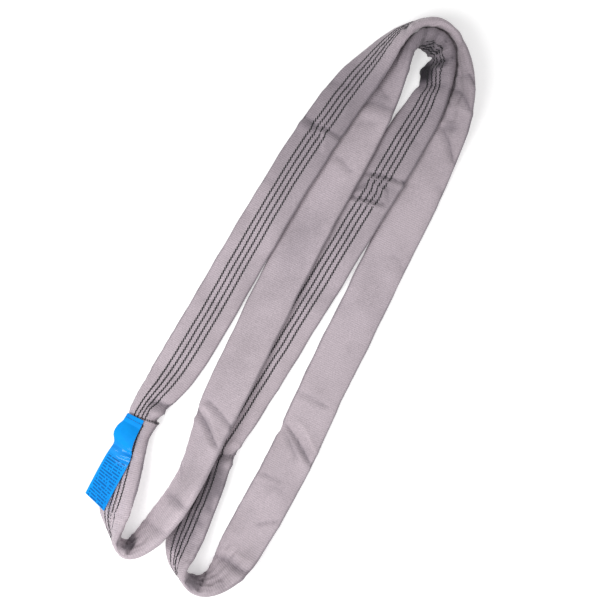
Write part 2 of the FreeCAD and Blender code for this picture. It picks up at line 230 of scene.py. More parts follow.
# ---- the sleeve ----
TAIL = 34.0               # how far the sleeve's far end reaches inside the mouth
TAIL_TAPER = 14.0         # how far outside the mouth the tail begins to narrow
TAIL_LESS = 2.6           # how much narrower and thinner it is there
LIP = 10.0                # how deep the mouth's edge is turned in
LIP_LESS = 2.4            # how much narrower and thinner the turned edge is
MOUTH = 26.0              # length over which the sleeve widens to its mouth
MOUTH_WIDER = 5.0
MOUTH_THICKER = 0.9
MOUTH_SLANT = 10.0        # how far the mouth's high side reaches back
EDGE_SHARPNESS = 6.0      # how square the tube's edges are,
EDGE_FULLNESS = 0.6       # and how flat its faces

# Where the tube is plumper: route point, extra thickness and half length.
FULLER = [(23.9, 5.0, 15.0), (61.8, 4.0, 18.0)]

# Where the tube's edge is drawn in, or bulges when the amount is negative: route point, edge (-1 right
# of the way round, 1 left), amount and half length.
BULGES = [
    (4.2, -1, -8.0, 18.0), (25.95, -1, 9.0, 7.0), (26.85, -1, -9.0, 14.0), (27.6, -1, 2.5, 9.0),
    (50.2, -1, 3.5, 10.0),
]


def fullness(share):
    """Height of the flat filled tube at a share of its half width."""
    return np.maximum(1 - np.abs(share) ** EDGE_SHARPNESS, 0) ** EDGE_FULLNESS


def section(width, thick):
    """Places u, v round a flat filled tube, from its right edge over the lined face and back."""
    turn = np.linspace(0, 2 * math.pi, AROUND, endpoint=False)
    share = -np.cos(turn)
    v = np.sign(np.sin(turn)) * fullness(share)
    return np.multiply.outer(width / 2, share), np.multiply.outer(thick / 2, v)


def sleeve_grid():
    """The rings of the sleeve from inside the mouth round to the tucked end: distance, u and v."""
    inner = np.array([LIP, LIP / 2, 0.4])
    s = np.concatenate([inner, ring_places(), loop.length + np.arange(3.0, TAIL, PLAIN_STEP)])
    around = np.linspace(0, 2 * math.pi, AROUND, endpoint=False)
    width = loop.at(s, loop.width) + 1.3 * wobble(1, s / 75) + 0.7 * wobble(2, s / 24)
    thick = loop.at(s, loop.thick) * (1 + 0.07 * wobble(3, s / 60))
    for route_point, amount, reach in FULLER:
        thick = thick + amount * loop.near(s, route_point, reach)
    open_part = 1 - smooth_step(s / MOUTH)
    less = TAIL_LESS * smooth_step((s - loop.length + TAIL_TAPER) / 12)
    less[:len(inner)] += LIP_LESS
    width = width + MOUTH_WIDER * open_part - less
    thick = thick + MOUTH_THICKER * open_part - less
    u, v = section(width, thick)
    u = u + (MOUTH_WIDER / 2 * open_part)[:, None]
    u = u + 1.1 * wobble(4, s / 42)[:, None] * smooth_step(np.cos(around))[None, :]
    u = u - 1.1 * wobble(5, s / 46)[:, None] * smooth_step(-np.cos(around))[None, :]
    for route_point, edge, amount, reach in BULGES:
        at_edge = smooth_step(-edge * np.cos(around))[None, :]
        u = u - edge * amount * loop.near(s, route_point, reach)[:, None] * at_edge
    lumps = 0.45 * wobble(6, s[:, None] / 120, u / 11) + 0.5 * wobble(7, s[:, None] / 45, u / 30)
    v = v + lumps * np.sin(around)[None, :]
    s = s[:, None] - MOUTH_SLANT * open_part[:, None] * smooth_step(u / width[:, None] + 0.5)
    return s, u, v, len(inner)


def on_leg(s, leg):
    """Whether each distance s is on a leg."""
    first, last = LEG_SPANS[leg]
    return (s >= loop.s_of(first)) & (s <= loop.s_of(last))


def press_folds(s, points, normals):
    """Pushes the listed folds into the upper face of each leg, with painted shade along each groove and
    painted light along each welt.
    """
    shade = np.ones(points.shape[:2])
    for leg, start, end, depth, half_width in FOLDS:
        a = np.array(start, float) - CENTRE
        run = np.array(end, float) - np.array(start, float)
        flat = points[..., :2] - a
        share = (flat @ run) / (run @ run)
        side = (flat[..., 0] * run[1] - flat[..., 1] * run[0]) / np.linalg.norm(run)
        side = side + 0.25 * half_width * np.sin(5 * share)
        fade = smooth_step((share + 0.18) / 0.3) * smooth_step((1.18 - share) / 0.3)
        upper = smooth_step((normals[..., 2] + 0.1) / 0.4) * on_leg(s, leg)
        groove = 0.55 * np.exp(-np.abs(side) / (0.5 * half_width)) + 0.45 * np.exp(-(side / half_width) ** 2)
        shoulder = 0.5 * np.exp(-((side - 1.9 * half_width) / (1.2 * half_width)) ** 2)
        points = points - normals * (depth * fade * upper * (groove - shoulder))[..., None]
        # each fold's line carries painted shade along a groove and painted light along a welt
        line = np.exp(-np.abs(side) / (0.35 * half_width)) * fade * upper
        shade = shade * (1 - 0.12 * np.clip(depth, -1.5, 4.5) * line)
    return points, shade


# Painted shade along the loop, darker at its top bends, and painted light at the first bend where the share
# is above 1: route point, share of light the cloth keeps.
PAINTED_SHADE_ALONG = [
    (0, 1.0), (2.5, 1.0), (4, 1.13), (9.5, 1.13), (11, 1.0), (20, 1.0), (22, 0.72), (23, 0.5),
    (26, 0.5), (28, 0.62), (31, 0.86), (34, 1.0), (55, 1.0), (57, 0.86), (59, 0.68), (61, 0.92),
    (63, 0.98), (65, 0.62), (67, 0.7), (69, 0.95), (71, 1.0), (76, 1.0),
]

# Patches of painted shade in pockets of the bends and painted shadow where a leg is pressed under its
# neighbour: leg, x, y, half length, half width and share of light kept in the middle.
SHADE_PATCHES = [
    ("C", 3, 422, 30, 17, 0.10), ("C", 58, -362, 46, 18, 0.80), ("C", 44, -296, 34, 16, 0.78),
    ("B", -30, 100, 60, 30, 0.87), ("C", 30, 228, 20, 34, 0.80), ("BC", -8, 450, 16, 10, 0.55),
    ("BC", 20, 446, 9, 8, 0.6), ("AB", -27, -441, 10, 9, 0.36), ("CD", 88, -442, 10, 14, 0.52),
    ("C", 34, -392, 44, 24, 0.64),
    ("C", 36, -312, 58, 26, 0.60), ("D", 84, 368, 10, 12, 0.72), ("A", -112, 262, 10, 16, 0.72),
    ("B", -30, 352, 12, 22, 0.84), ("B", 2, -350, 12, 20, 0.84), ("A", -92, -240, 10, 16, 0.78),
    ("D", 128, -392, 7, 26, 0.88), ("D", 132, -186, 10, 20, 0.86), ("B", -14, -225, 9, 20, 0.86),
]


def painted_shade_at(s, points):
    """Share of light that the cloth keeps at each point, under painted shade along the loop and in patches.
    """
    route_places, keep = zip(*PAINTED_SHADE_ALONG)
    kept = np.interp(np.mod(s, loop.length), [loop.s_of(p) for p in route_places], keep)
    ragged = wobble(70, points[..., 0] / 14, points[..., 1] / 14)
    for leg, x, y, length, width, middle in SHADE_PATCHES:
        away = np.hypot((points[..., 0] - x + CENTRE[0]) / width, (points[..., 1] - y + CENTRE[1]) / length)
        away = away + 0.35 * ragged
        kept = kept * (1 - (1 - middle) * on_leg(s, leg) * smooth_step(1.35 - away))
    return kept


EDGE_SHADE = 0.42          # share of light that the edges lose to painted shade


def painted_edge_shade(s, u):
    """Painted shade along the two edges of the flat tube, less where it stands on edge."""
    away = np.abs(u) / np.abs(u).max(axis=1, keepdims=True)
    standing = smooth_step((np.abs(np.sin(loop.at(s, loop.roll))) - 0.5) / 0.4)
    return 1 - EDGE_SHADE * (1 - 0.85 * standing) * smooth_step((away - 0.90) / 0.09)


def grid_normals(points):
    """Outward normals of a grid of rings."""
    along = np.gradient(points, axis=0)
    around = np.roll(points, -1, 1) - np.roll(points, 1, 1)
    return unit(np.cross(along, around))


FLOOR_NEAR = 1.2          # cloth lower than this is pressed on the floor,
FLOOR_REST = 0.96         # begins at this height,
FLOOR_GIVE = 0.3          # and keeps this share of its unevenness
FLOOR_GAP = 0.05


def rest_on_floor(points):
    """Nothing reaches below the floor: what would is flattened on it."""
    low = points[..., 2]
    pressed = FLOOR_REST + FLOOR_GIVE * (low - FLOOR_NEAR)
    points[..., 2] = np.maximum(np.where(low < FLOOR_NEAR, pressed, low), FLOOR_GAP)
    return points


def make_mesh(name, points, faces):
    """A smooth-shaded piece from points in millimetres, with its faces turned outward."""
    mesh = bpy.data.meshes.new(name)
    mesh.from_pydata([tuple(p) for p in np.asarray(points).reshape(-1, 3) * MM], [], faces)
    shell = bmesh.new()
    shell.from_mesh(mesh)
    bmesh.ops.recalc_face_normals(shell, faces=shell.faces)
    shell.to_mesh(mesh)
    shell.free()
    mesh.shade_smooth()
    mesh.update()
    piece = bpy.data.objects.new(name, mesh)
    bpy.context.scene.collection.objects.link(piece)
    return piece


def grid_faces(rings, around, closed=False):
    """Quads between rings, with the ends closed or the last ring joined to the first."""
    k = np.arange(around)
    after = (k + 1) % around
    last = rings if closed else rings - 1
    quads = []
    for r in range(last):
        a, b = r * around, (r + 1) % rings * around
        quads += np.column_stack([a + k, b + k, b + after, a + after]).tolist()
    if not closed:
        quads.append(list(range(around)))
        quads.append([(rings - 1) * around + i for i in range(around)][::-1])
    return quads


def corner_points(mesh):
    """The number of the point at each corner of the faces."""
    number = np.zeros(len(mesh.loops), int)
    mesh.loops.foreach_get("vertex_index", number)
    return number


def lay_map(mesh, name, a, b):
    """A UV map that holds two values at each corner of the faces."""
    layer = mesh.uv_layers.new(name=name)
    layer.data.foreach_set("uv", np.column_stack([a, b]).ravel())


def lay_weave(piece, s, u, v, shade):
    """Maps of the way along and round in metres, the place across and the face, and the painted shade."""
    step = np.hypot(np.diff(u, axis=1), np.diff(v, axis=1))
    way = np.concatenate([np.zeros((len(s), 1)), np.cumsum(step, axis=1)], axis=1)
    mesh = piece.data
    ring, place = np.divmod(corner_points(mesh), AROUND)
    wraps = np.zeros(len(place), bool)
    for polygon in mesh.polygons:
        loops = slice(polygon.loop_start, polygon.loop_start + polygon.loop_total)
        if polygon.loop_total == 4 and place[loops].max() == AROUND - 1 and place[loops].min() == 0:
            wraps[loops] = place[loops] == 0
    full = way[:, -1] + np.hypot(u[:, 0] - u[:, -1], v[:, 0] - v[:, -1])
    along = np.where(wraps, full[ring], way[ring, place])
    lay_map(mesh, "weave", s[ring, place] * MM, along * MM)
    share = (u / (u.max(1) - u.min(1))[:, None])[ring, place]
    lay_map(mesh, "band", share, np.where(v > 0, 1.0, 0.0)[ring, place])
    lay_map(mesh, "painted_shade", shade[ring, place], shade[ring, place])


# ---- the cloth simulation ----
DRAPE_STEPS = 12
DRAPE_OUT = 1.8           # how far the cloth may bulge
DRAPE_IN = 6.0            # and sink from the laid shape
DRAPE_HOLD = 0.5          # how firmly each point is held to it
DRAPE_BENDING = 10.0
SPARE_MOST = 0.22         # most spare length, as a share,
SPARE_LEVELS = 40         # and its number of steps
WOVEN_GIRTH = 156.0       # round the sleeve where nothing gathers it
GIRTH_SHARE = 0.12        # how much of the drawn-in girth shows as spare cloth


def spare_cloth(s, u, points):
    """How much longer the cloth is than the way it takes, at each point, as a share."""
    step = np.linalg.norm(np.diff(points, axis=0), axis=-1)
    step = np.vstack([step, step[-1:]])
    longest = np.percentile(step, 85, axis=1)[:, None]
    spare = np.clip(longest / step - 1, 0, 0.6)
    girth = np.linalg.norm(np.roll(points, -1, 1) - points, axis=-1).sum(1)[:, None]
    spare = spare + GIRTH_SHARE * np.clip(WOVEN_GIRTH / girth - 1, 0, 0.4)
    for _ in range(3):
        spare = (np.roll(spare, 1, 1) + spare + np.roll(spare, -1, 1)) / 3
        spare = (np.roll(spare, 1, 0) + spare + np.roll(spare, -1, 0)) / 3
    spare = spare + 0.018 * wobble(60, s / 70, u / 30)
    return np.clip(spare, 0, SPARE_MOST)


def drape(s, u, points):
    """Lets the cloth find its own folds where it is longer than the way it takes."""
    piece = make_mesh("draping", points, grid_faces(len(points), AROUND)[:-2])
    level = np.round((1 - spare_cloth(s, u, points) / SPARE_MOST) * SPARE_LEVELS).ravel()
    taut = piece.vertex_groups.new(name="taut")
    for k in range(1, SPARE_LEVELS + 1):
        chosen = np.nonzero(level == k)[0]
        if len(chosen):
            taut.add(chosen.tolist(), k / SPARE_LEVELS, "REPLACE")
    held = piece.vertex_groups.new(name="held")
    held.add(range(level.size), DRAPE_HOLD, "REPLACE")
    cloth = piece.modifiers.new("cloth", "CLOTH")
    cloth.settings.quality = 4
    cloth.settings.vertex_group_mass = "held"
    cloth.settings.vertex_group_shrink = "taut"
    cloth.settings.shrink_min = -SPARE_MOST
    cloth.settings.shrink_max = 0.0
    cloth.settings.bending_stiffness = DRAPE_BENDING
    cloth.settings.effector_weights.gravity = 0
    cloth.collision_settings.use_collision = False
    cloth.point_cache.frame_start = 1
    cloth.point_cache.frame_end = DRAPE_STEPS
    for frame_number in range(1, DRAPE_STEPS + 1):
        bpy.context.scene.frame_set(frame_number)
    found = piece.evaluated_get(bpy.context.evaluated_depsgraph_get()).data
    place = np.zeros(level.size * 3)
    found.vertices.foreach_get("co", place)
    bpy.data.objects.remove(piece)
    bpy.context.scene.frame_set(1)
    move = place.reshape(points.shape) / MM - points
    for _ in range(2):
        move[1:-1] = (move[:-2] + 2 * move[1:-1] + move[2:]) / 4
    normals = grid_normals(points)
    out = (move * normals).sum(-1, keepdims=True)
    return points + move + normals * (np.clip(out, -DRAPE_IN, DRAPE_OUT) - out)


def shape_sleeve():
    """Rings of points of the finished skin, with where each lies on the sleeve."""
    s, u, v, inner = sleeve_grid()
    points = loop.place(s, u, v)
    points = drape(s, u, points)
    points, shade = press_folds(s, points, grid_normals(points))
    # the last value is the share of light the cloth keeps under the painted shade and light of folds, loop
    # and edges
    return s, u, v, rest_on_floor(points), inner, shade * painted_shade_at(s, points) * painted_edge_shade(s, u)


def columns_at(u, target):
    """The column before each target place across, and the share of the way to the next one."""
    column = np.array([np.interp(x, row, np.arange(len(row))) for x, row in zip(target, u)])
    left = np.clip(column.astype(int), 0, u.shape[1] - 2)
    return left, (column - left)[:, None]


class Skin:
    """The finished skin of the sleeve, for laying things on it."""

    def __init__(self, s, u, points, inner):
        self.s, self.u, self.points = s[inner:, AROUND // 4], u[inner:], points[inner:]
        self.normals = grid_normals(self.points)

    def on_lined_face(self, s, share, lift):
        """Points over the lined face at distances s and places across, as shares of the width."""
        row = np.interp(s, self.s, np.arange(len(self.s)))
        low = np.clip(row.astype(int), 0, len(self.s) - 2)
        part = row - low
        half = AROUND // 2
        found = 0
        for ring, weight in ((low, 1 - part), (low + 1, part)):
            u = self.u[ring, :half + 1]
            left, across = columns_at(u, share * (u[:, -1] - u[:, 0]) + (u[:, -1] + u[:, 0]) / 2)
            p = self.points[ring, left] * (1 - across) + self.points[ring, left + 1] * across
            n = self.normals[ring, left] * (1 - across) + self.normals[ring, left + 1] * across
            found = found + weight[:, None] * (p + n * lift)
        return found


# ---- threads ----
THREAD_SQUASH = 0.6       # a stitch's height over its width
THREAD_LIFT = 0.25        # of a stitch's middle over the cloth
LINE_RADIUS = 1.1
STITCH_PITCH = 4.8
STITCH_LONGER = 1.2       # each stitch passes the next one's start
STITCH_SLANT = 0.021      # half of how far a stitch runs across its line, in widths
KINK_REACH = 9.0
KINKS = [(30.5, 0.04), (66.75, 0.05)]   # where creases throw the lines sideways: route point and shift
GATHERED = (23.4, 26.4)   # the route points between which the lines crumple


def capsules(name, starts, ends, normals, radius):
    """A row of short thread lengths, each a rounded rod from start to end."""
    rings = np.array([(0.0, 0.35), (0.14, 0.85), (0.5, 1.0), (0.86, 0.85), (1.0, 0.35)])
    sides = 8
    turn = np.linspace(0, 2 * math.pi, sides, endpoint=False)
    run = ends - starts
    side = unit(np.cross(unit(run), normals))
    points = []
    for share, size in rings:
        ring = (starts + run * share)[:, None, :]
        ring = ring + side[:, None, :] * (radius * size * np.cos(turn))[None, :, None]
        ring = ring + normals[:, None, :] * (radius * THREAD_SQUASH * size * np.sin(turn))[None, :, None]
        points.append(ring)
    points = np.stack(points, 1)
    points[..., 2] = np.maximum(points[..., 2], 0.02)
    one = np.array(grid_faces(len(rings), sides)[:-2])
    faces = []
    block = len(rings) * sides
    for k in range(len(starts)):
        faces += (one + k * block).tolist()
        faces.append([k * block + i for i in range(sides)][::-1])
        faces.append([k * block + (len(rings) - 1) * sides + i for i in range(sides)])
    return make_mesh(name, points, faces)


def make_tonne_line(skin, number, share):
    """Black stitches along the sleeve, each laid a little across the line."""
    start = 3 + np.arange(int((loop.length - 6) / STITCH_PITCH)) * STITCH_PITCH
    drift = 0.004 * wobble(20 + number, start / 60)
    for route_point, shift in KINKS:
        away = (start - loop.s_of(route_point)) / KINK_REACH
        drift = drift + shift * away * np.exp(-away ** 2)
    first, last = (loop.s_of(route_point) for route_point in GATHERED)
    gathered = smooth_step((start - first) / 9) * smooth_step((last - start) / 9)
    drift = drift + 0.05 * gathered * wobble(80, start / 7 + 0.4 * number)
    length = STITCH_PITCH * STITCH_LONGER * (0.95 + 0.05 * wobble(30 + number, start / 9))
    a = skin.on_lined_face(start, share + drift - STITCH_SLANT, THREAD_LIFT)
    b = skin.on_lined_face(start + length, share + drift + STITCH_SLANT, THREAD_LIFT)
    above = skin.on_lined_face(start + STITCH_PITCH / 2, share + drift, 2.0)
    on = skin.on_lined_face(start + STITCH_PITCH / 2, share + drift, 0.0)
    return capsules("tonne_stitches_%d" % number, a, b, unit(above - on), LINE_RADIUS)


# ---- materials ----
class Nodes:
    """A material with its shader, and short ways to add nodes."""

    def __init__(self, name, **settings):
        self.material = bpy.data.materials.new(name)
        self.material.use_nodes = True
        self.tree = self.material.node_tree
        self.shader = self.tree.nodes["Principled BSDF"]
        for socket, value in settings.items():
            self.shader.inputs[socket.replace("_", " ")].default_value = value

    def put(self, socket, value):
        """Links a socket, or sets its value."""
        if isinstance(value, bpy.types.NodeSocket):
            self.tree.links.new(value, socket)
        else:
            socket.default_value = value

    def math(self, operation, a, b=0.0):
        node = self.tree.nodes.new("ShaderNodeMath")
        node.operation = operation
        self.put(node.inputs[0], a)
        self.put(node.inputs[1], b)
        return node.outputs[0]

    def uv(self, name):
        node = self.tree.nodes.new("ShaderNodeUVMap")
        node.uv_map = name
        split = self.tree.nodes.new("ShaderNodeSeparateXYZ")
        self.tree.links.new(node.outputs[0], split.inputs[0])
        return split.outputs[0], split.outputs[1]

    def noise(self, scale, detail, vector=None):
        """Noise over the vector, or over the object's own coordinates."""
        place = vector or self.tree.nodes.new("ShaderNodeTexCoord").outputs["Object"]
        node = self.tree.nodes.new("ShaderNodeTexNoise")
        node.inputs["Scale"].default_value = scale
        node.inputs["Detail"].default_value = detail
        self.tree.links.new(place, node.inputs["Vector"])
        return node.outputs["Fac"]

    def ramp(self, value, *stops):
        """A colour from stops, each a place and a colour, in rising order."""
        node = self.tree.nodes.new("ShaderNodeValToRGB")
        for k, (place, colour) in enumerate(stops):
            stop = node.color_ramp.elements[k] if k < 2 else node.color_ramp.elements.new(place)
            stop.position = place
            stop.color = (*colour, 1)
        self.put(node.inputs[0], value)
        return node.outputs[0]

    def mix(self, share, a, b, kind="MIX"):
        node = self.tree.nodes.new("ShaderNodeMix")
        node.data_type = "RGBA"
        node.blend_type = kind
        self.put(node.inputs[0], share)
        self.put(node.inputs[6], a if isinstance(a, bpy.types.NodeSocket) else (*a, 1))
        self.put(node.inputs[7], b if isinstance(b, bpy.types.NodeSocket) else (*b, 1))
        return node.outputs[2]

    def wave(self, value, period):
        """From 0 to 1 and back over each period."""
        node = self.tree.nodes.new("ShaderNodeMath")
        node.operation = "MULTIPLY_ADD"
        self.put(node.inputs[0], self.math("SINE", self.math("MULTIPLY", value, 2 * math.pi / period)))
        node.inputs[1].default_value = 0.5
        node.inputs[2].default_value = 0.5
        return node.outputs[0]

    def finish(self, colour, height, distance, strength):
        """Gives the shader its colour and bump, and hands over the material."""
        node = self.tree.nodes.new("ShaderNodeBump")
        node.inputs["Strength"].default_value = strength
        node.inputs["Distance"].default_value = distance
        self.put(node.inputs["Height"], height)
        self.put(self.shader.inputs["Base Color"], colour)
        self.put(self.shader.inputs["Normal"], node.outputs[0])
        return self.material


RIB = 0.0032              # metres between the weave's cross ribs
WARP = 0.0016             # and between its warp threads
CHEVRON = 0.0617          # half the width of one zigzag, in widths of the sleeve
CHEVRON_SLOPE = 0.072     # how fast it runs along, in metres to a width
CLOTH = (0.515, 0.447, 0.495)
CLOTH_DARK = (0.415, 0.36, 0.40)
CLOTH_WARM = (0.525, 0.455, 0.475)


def cloth_material():
    m = Nodes("sleeve_weave", Roughness=0.86, Sheen_Weight=0.25, Sheen_Roughness=0.45,
              Specular_IOR_Level=0.25)
    along, way = m.uv("weave")
    share, face = m.uv("band")
    rib = m.wave(along, RIB)
    warp = m.wave(way, WARP)
    uneven = m.noise(420.0, 3.0)
    weave = m.math("MULTIPLY", rib, m.math("ADD", 0.75, m.math("MULTIPLY", warp, 0.25)))
    height = m.math("ADD", weave, m.math("MULTIPLY", uneven, 0.5))
    # between the outer tonne lines the weave changes to a herringbone
    first, last = LINE_PLACES[0], LINE_PLACES[-1]
    inside = m.math("MULTIPLY", m.math("GREATER_THAN", share, first), m.math("LESS_THAN", share, last))
    inside = m.math("MULTIPLY", inside, m.math("GREATER_THAN", face, 0.5))
    zigzag = m.math("PINGPONG", m.math("SUBTRACT", share, first), CHEVRON)
    chevron = m.wave(m.math("ADD", along, m.math("MULTIPLY", zigzag, CHEVRON_SLOPE)), RIB)
    height = m.math("ADD", height, m.math("MULTIPLY", inside, m.math("MULTIPLY", chevron, 1.1)))
    big = m.ramp(m.noise(17.0, 4.0), (0.34, CLOTH_DARK), (0.60, CLOTH))
    colour = m.mix(m.math("MULTIPLY", m.noise(3.1, 2.0), 0.5), big, CLOTH_WARM)
    fleck = m.ramp(m.noise(560.0, 3.0), (0.3, (0.80, 0.80, 0.80)), (0.7, (1.12, 1.11, 1.11)))
    colour = m.mix(1.0, colour, fleck, "MULTIPLY")
    # painted shade in the grooves between the cross ribs
    groove = m.ramp(rib, (0.0, (0.90, 0.89, 0.90)), (0.55, (1.0, 1.0, 1.0)))
    colour = m.mix(0.8, colour, groove, "MULTIPLY")
    # painted light on the herringbone's raised ribs and painted shade in its hollows
    light = m.ramp(chevron, (0.25, (0.92, 0.92, 0.93)), (0.8, (1.18, 1.17, 1.18)))
    colour = m.mix(inside, colour, m.mix(1.0, colour, light, "MULTIPLY"))
    # painted shade darkens the cloth, taking a little less of its blue
    kept, _ = m.uv("painted_shade")
    join = m.tree.nodes.new("ShaderNodeCombineColor")
    for channel, share_kept in enumerate((kept, kept, m.math("POWER", kept, 0.95))):
        m.put(join.inputs[channel], share_kept)
    colour = m.mix(1.0, colour, join.outputs[0], "MULTIPLY")
    return m.finish(colour, height, 0.0005, 0.7)


def thread_material(name, colour, lighter):
    m = Nodes(name, Roughness=0.7, Sheen_Weight=0.1, Specular_IOR_Level=0.3)
    tone = m.ramp(m.noise(700.0, 2.0), (0.3, colour), (0.75, lighter))
    return m.finish(tone, m.noise(2600.0, 2.0), 0.0002, 0.6)


LABEL_BLUE = (0.004, 0.30, 0.84)
LABEL_DEEP = (0.004, 0.19, 0.62)
LABEL_INK = (0.004, 0.075, 0.30)
LABEL_WIDTH = 0.038       # across the label in its print coordinates, metres
PRINT_ROW = 0.0046        # from one row of print to the next
PRINT_TOP = 0.338         # where the print begins, down the label
PRINT_MARGIN = 0.0035     # and how far it stays from the edges
PRINT_WORDS = 330.0       # how short the bars are, and
PRINT_ROW_SHIFT = 7.3     # how far apart two rows read the same noise


def print_rows(m, across, down):
    """1 where the printed face has ink: rows of bars in the place of words."""
    row = m.math("SINE", m.math("MULTIPLY", down, 2 * math.pi / PRINT_ROW))
    on_row = m.math("GREATER_THAN", row, -0.1)
    number = m.math("FLOOR", m.math("MULTIPLY", down, 1 / PRINT_ROW))
    join = m.tree.nodes.new("ShaderNodeCombineXYZ")
    m.put(join.inputs[0], m.math("MULTIPLY", across, PRINT_WORDS))
    m.put(join.inputs[1], m.math("MULTIPLY", number, PRINT_ROW_SHIFT))
    word = m.math("GREATER_THAN", m.noise(1.0, 0.0, join.outputs[0]), 0.39)
    _, front = m.uv("side")
    ink = m.math("MULTIPLY", on_row, word)
    for value, side, edge in ((across, "GREATER_THAN", PRINT_MARGIN),
                              (across, "LESS_THAN", LABEL_WIDTH - PRINT_MARGIN),
                              (down, "GREATER_THAN", PRINT_TOP), (front, "GREATER_THAN", 0.5)):
        ink = m.math("MULTIPLY", ink, m.math(side, value, edge))
    return ink


def label_material(printed):
    m = Nodes("label_printed" if printed else "label_plain", Roughness=0.55, Specular_IOR_Level=0.05,
              Coat_Roughness=0.12)
    colour = m.ramp(m.noise(38.0, 3.0), (0.32, LABEL_DEEP), (0.6, LABEL_BLUE))
    colour = m.mix(0.55, colour, LABEL_BLUE)
    across, down = m.uv("print")
    if printed:
        colour = m.mix(m.math("MULTIPLY", print_rows(m, across, down), 0.74), colour, LABEL_INK)
    # the pinch has been rubbed shiny
    dull, shiny = (0, 0, 0), (0.7, 0.7, 0.7)
    rubbed = m.ramp(down, (0.314, dull), (0.325, shiny), (0.334, shiny), (0.345, dull))
    m.put(m.shader.inputs["Coat Weight"], rubbed)
    grain = m.math("ADD", m.noise(160.0, 3.0), m.math("MULTIPLY", m.noise(1400.0, 1.0), 0.12))
    return m.finish(colour, grain, 0.0006, 0.25)


def yarn_material():
    m = Nodes("core_yarn_filaments", Roughness=0.5, Sheen_Weight=0.3, Anisotropic=0.4)
    strand = m.noise(900.0, 3.0)
    tone = m.ramp(strand, (0.3, (0.66, 0.64, 0.6)), (0.7, (0.82, 0.8, 0.76)))
    return m.finish(tone, strand, 0.0006, 0.7)


def tape_material():
    m = Nodes("core_tape_film", Roughness=0.45)
    film = m.noise(120.0, 3.0)
    tone = m.ramp(film, (0.3, (0.6, 0.57, 0.46)), (0.7, (0.7, 0.67, 0.56)))
    return m.finish(tone, film, 0.0004, 0.4)


def floor_material():
    m = Nodes("floor", Roughness=0.9, Emission_Color=(1, 1, 1, 1), Emission_Strength=0.32)
    tone = m.noise(6.0, 3.0)
    m.put(m.shader.inputs["Base Color"], m.ramp(tone, (0.3, (0.90, 0.90, 0.90)), (0.7, (0.92, 0.92, 0.92))))
    return m.material


def give(piece, material):
    piece.data.materials.clear()
    piece.data.materials.append(material)


# ---- the seam at the mouth ----
OVERCAST = 46             # stitches round the mouth


def make_joint_thread(skin):
    """Overcast thread round the raw edge of the mouth."""
    ring = skin.points[0]
    after = skin.points[3]
    out = skin.normals[2]
    place = (np.arange(OVERCAST) + 0.5) / OVERCAST * AROUND
    low = place.astype(int) % AROUND
    part = (place % 1)[:, None]

    def at(rows):
        return rows[low] * (1 - part) + rows[(low + 1) % AROUND] * part

    along = unit(at(after) - at(ring))
    across = unit(np.cross(unit(at(out)), along))
    start = at(ring) + unit(at(out)) * 0.5 - along * 0.8 - across * 1.1
    end = at(ring) + unit(at(out)) * 0.7 + along * 2.2 + across * 1.5
    return capsules("joint_stitches", start, end, unit(at(out)), 0.55)


# ---- the core ----
YARN_TURNS = 12
YARN_SIDES = 8
YARN_WALL = 3.1           # room kept for the sleeve's cloth round the hank
YARN_ROOM = 0.82          # share of the sleeve's width that the hank takes
TAPE_POINT = 52           # the tape begins at this route point, away from the joint
TAPE_LESS = 2.0           # how far inside the sleeve's outside it lies


def between_faces(skin, ring, share):
    """Middle of the sleeve's room at a share of its width, half its depth, and the ways out and across."""
    half = AROUND // 2
    lined = skin.points[ring, :half + 1]
    plain = skin.points[ring][:, [0] + list(range(AROUND - 1, half - 1, -1))]
    u = skin.u[ring, :half + 1]
    left, part = columns_at(u, u[:, 0] + share * (u[:, -1] - u[:, 0]))
    k = np.arange(len(ring))
    top = lined[k, left] * (1 - part) + lined[k, left + 1] * part
    low = plain[k, left] * (1 - part) + plain[k, left + 1] * part
    across = unit(lined[:, -1] - lined[:, 0])
    return (top + low) / 2, np.linalg.norm(top - low, axis=-1) / 2, unit(top - low), across


def make_yarn_turn(skin, number):
    """One turn of the hank: a soft bundle of filaments that fills its share of the sleeve."""
    ring = np.arange(2, len(skin.s) - 12, 2)
    share = (1 - YARN_ROOM) / 2 + YARN_ROOM * (number + 0.5) / YARN_TURNS
    middle, depth, out, across = between_faces(skin, ring, share)
    depth = np.min([np.roll(depth, rings) for rings in range(-2, 3)], axis=0)
    half = np.clip(depth - YARN_WALL, 0.6, 4.4) * (1 + 0.06 * wobble(40 + number, skin.s[ring] / 25))
    wide = 0.40 * loop.at(skin.s[ring], loop.width) / YARN_TURNS
    turn = np.linspace(0, 2 * math.pi, YARN_SIDES, endpoint=False) + 0.4
    points = middle[:, None, :] + across[:, None, :] * (wide[:, None] * np.cos(turn))[..., None]
    points = points + out[:, None, :] * (half[:, None] * np.sin(turn))[..., None]
    faces = grid_faces(len(ring), YARN_SIDES, closed=True)
    return make_mesh("yarn_turn_%02d" % (number + 1), points, faces)


def make_yarn_tape():
    """A short wrap of tape round the whole hank, over the yarn's joined ends."""
    s = loop.s_of(TAPE_POINT) + np.array([0, 0, 12, 25, 38, 50, 50.0])
    less = TAPE_LESS + np.array([0.4, 0, 0, 0, 0, 0, 0.4])
    outer = section(loop.at(s, loop.width) - 2 * less, loop.at(s, loop.thick) - 2 * less)
    places = np.broadcast_to(s[:, None], outer[0].shape)
    return make_mesh("yarn_tape", loop.place(places, *outer), grid_faces(len(s), AROUND))


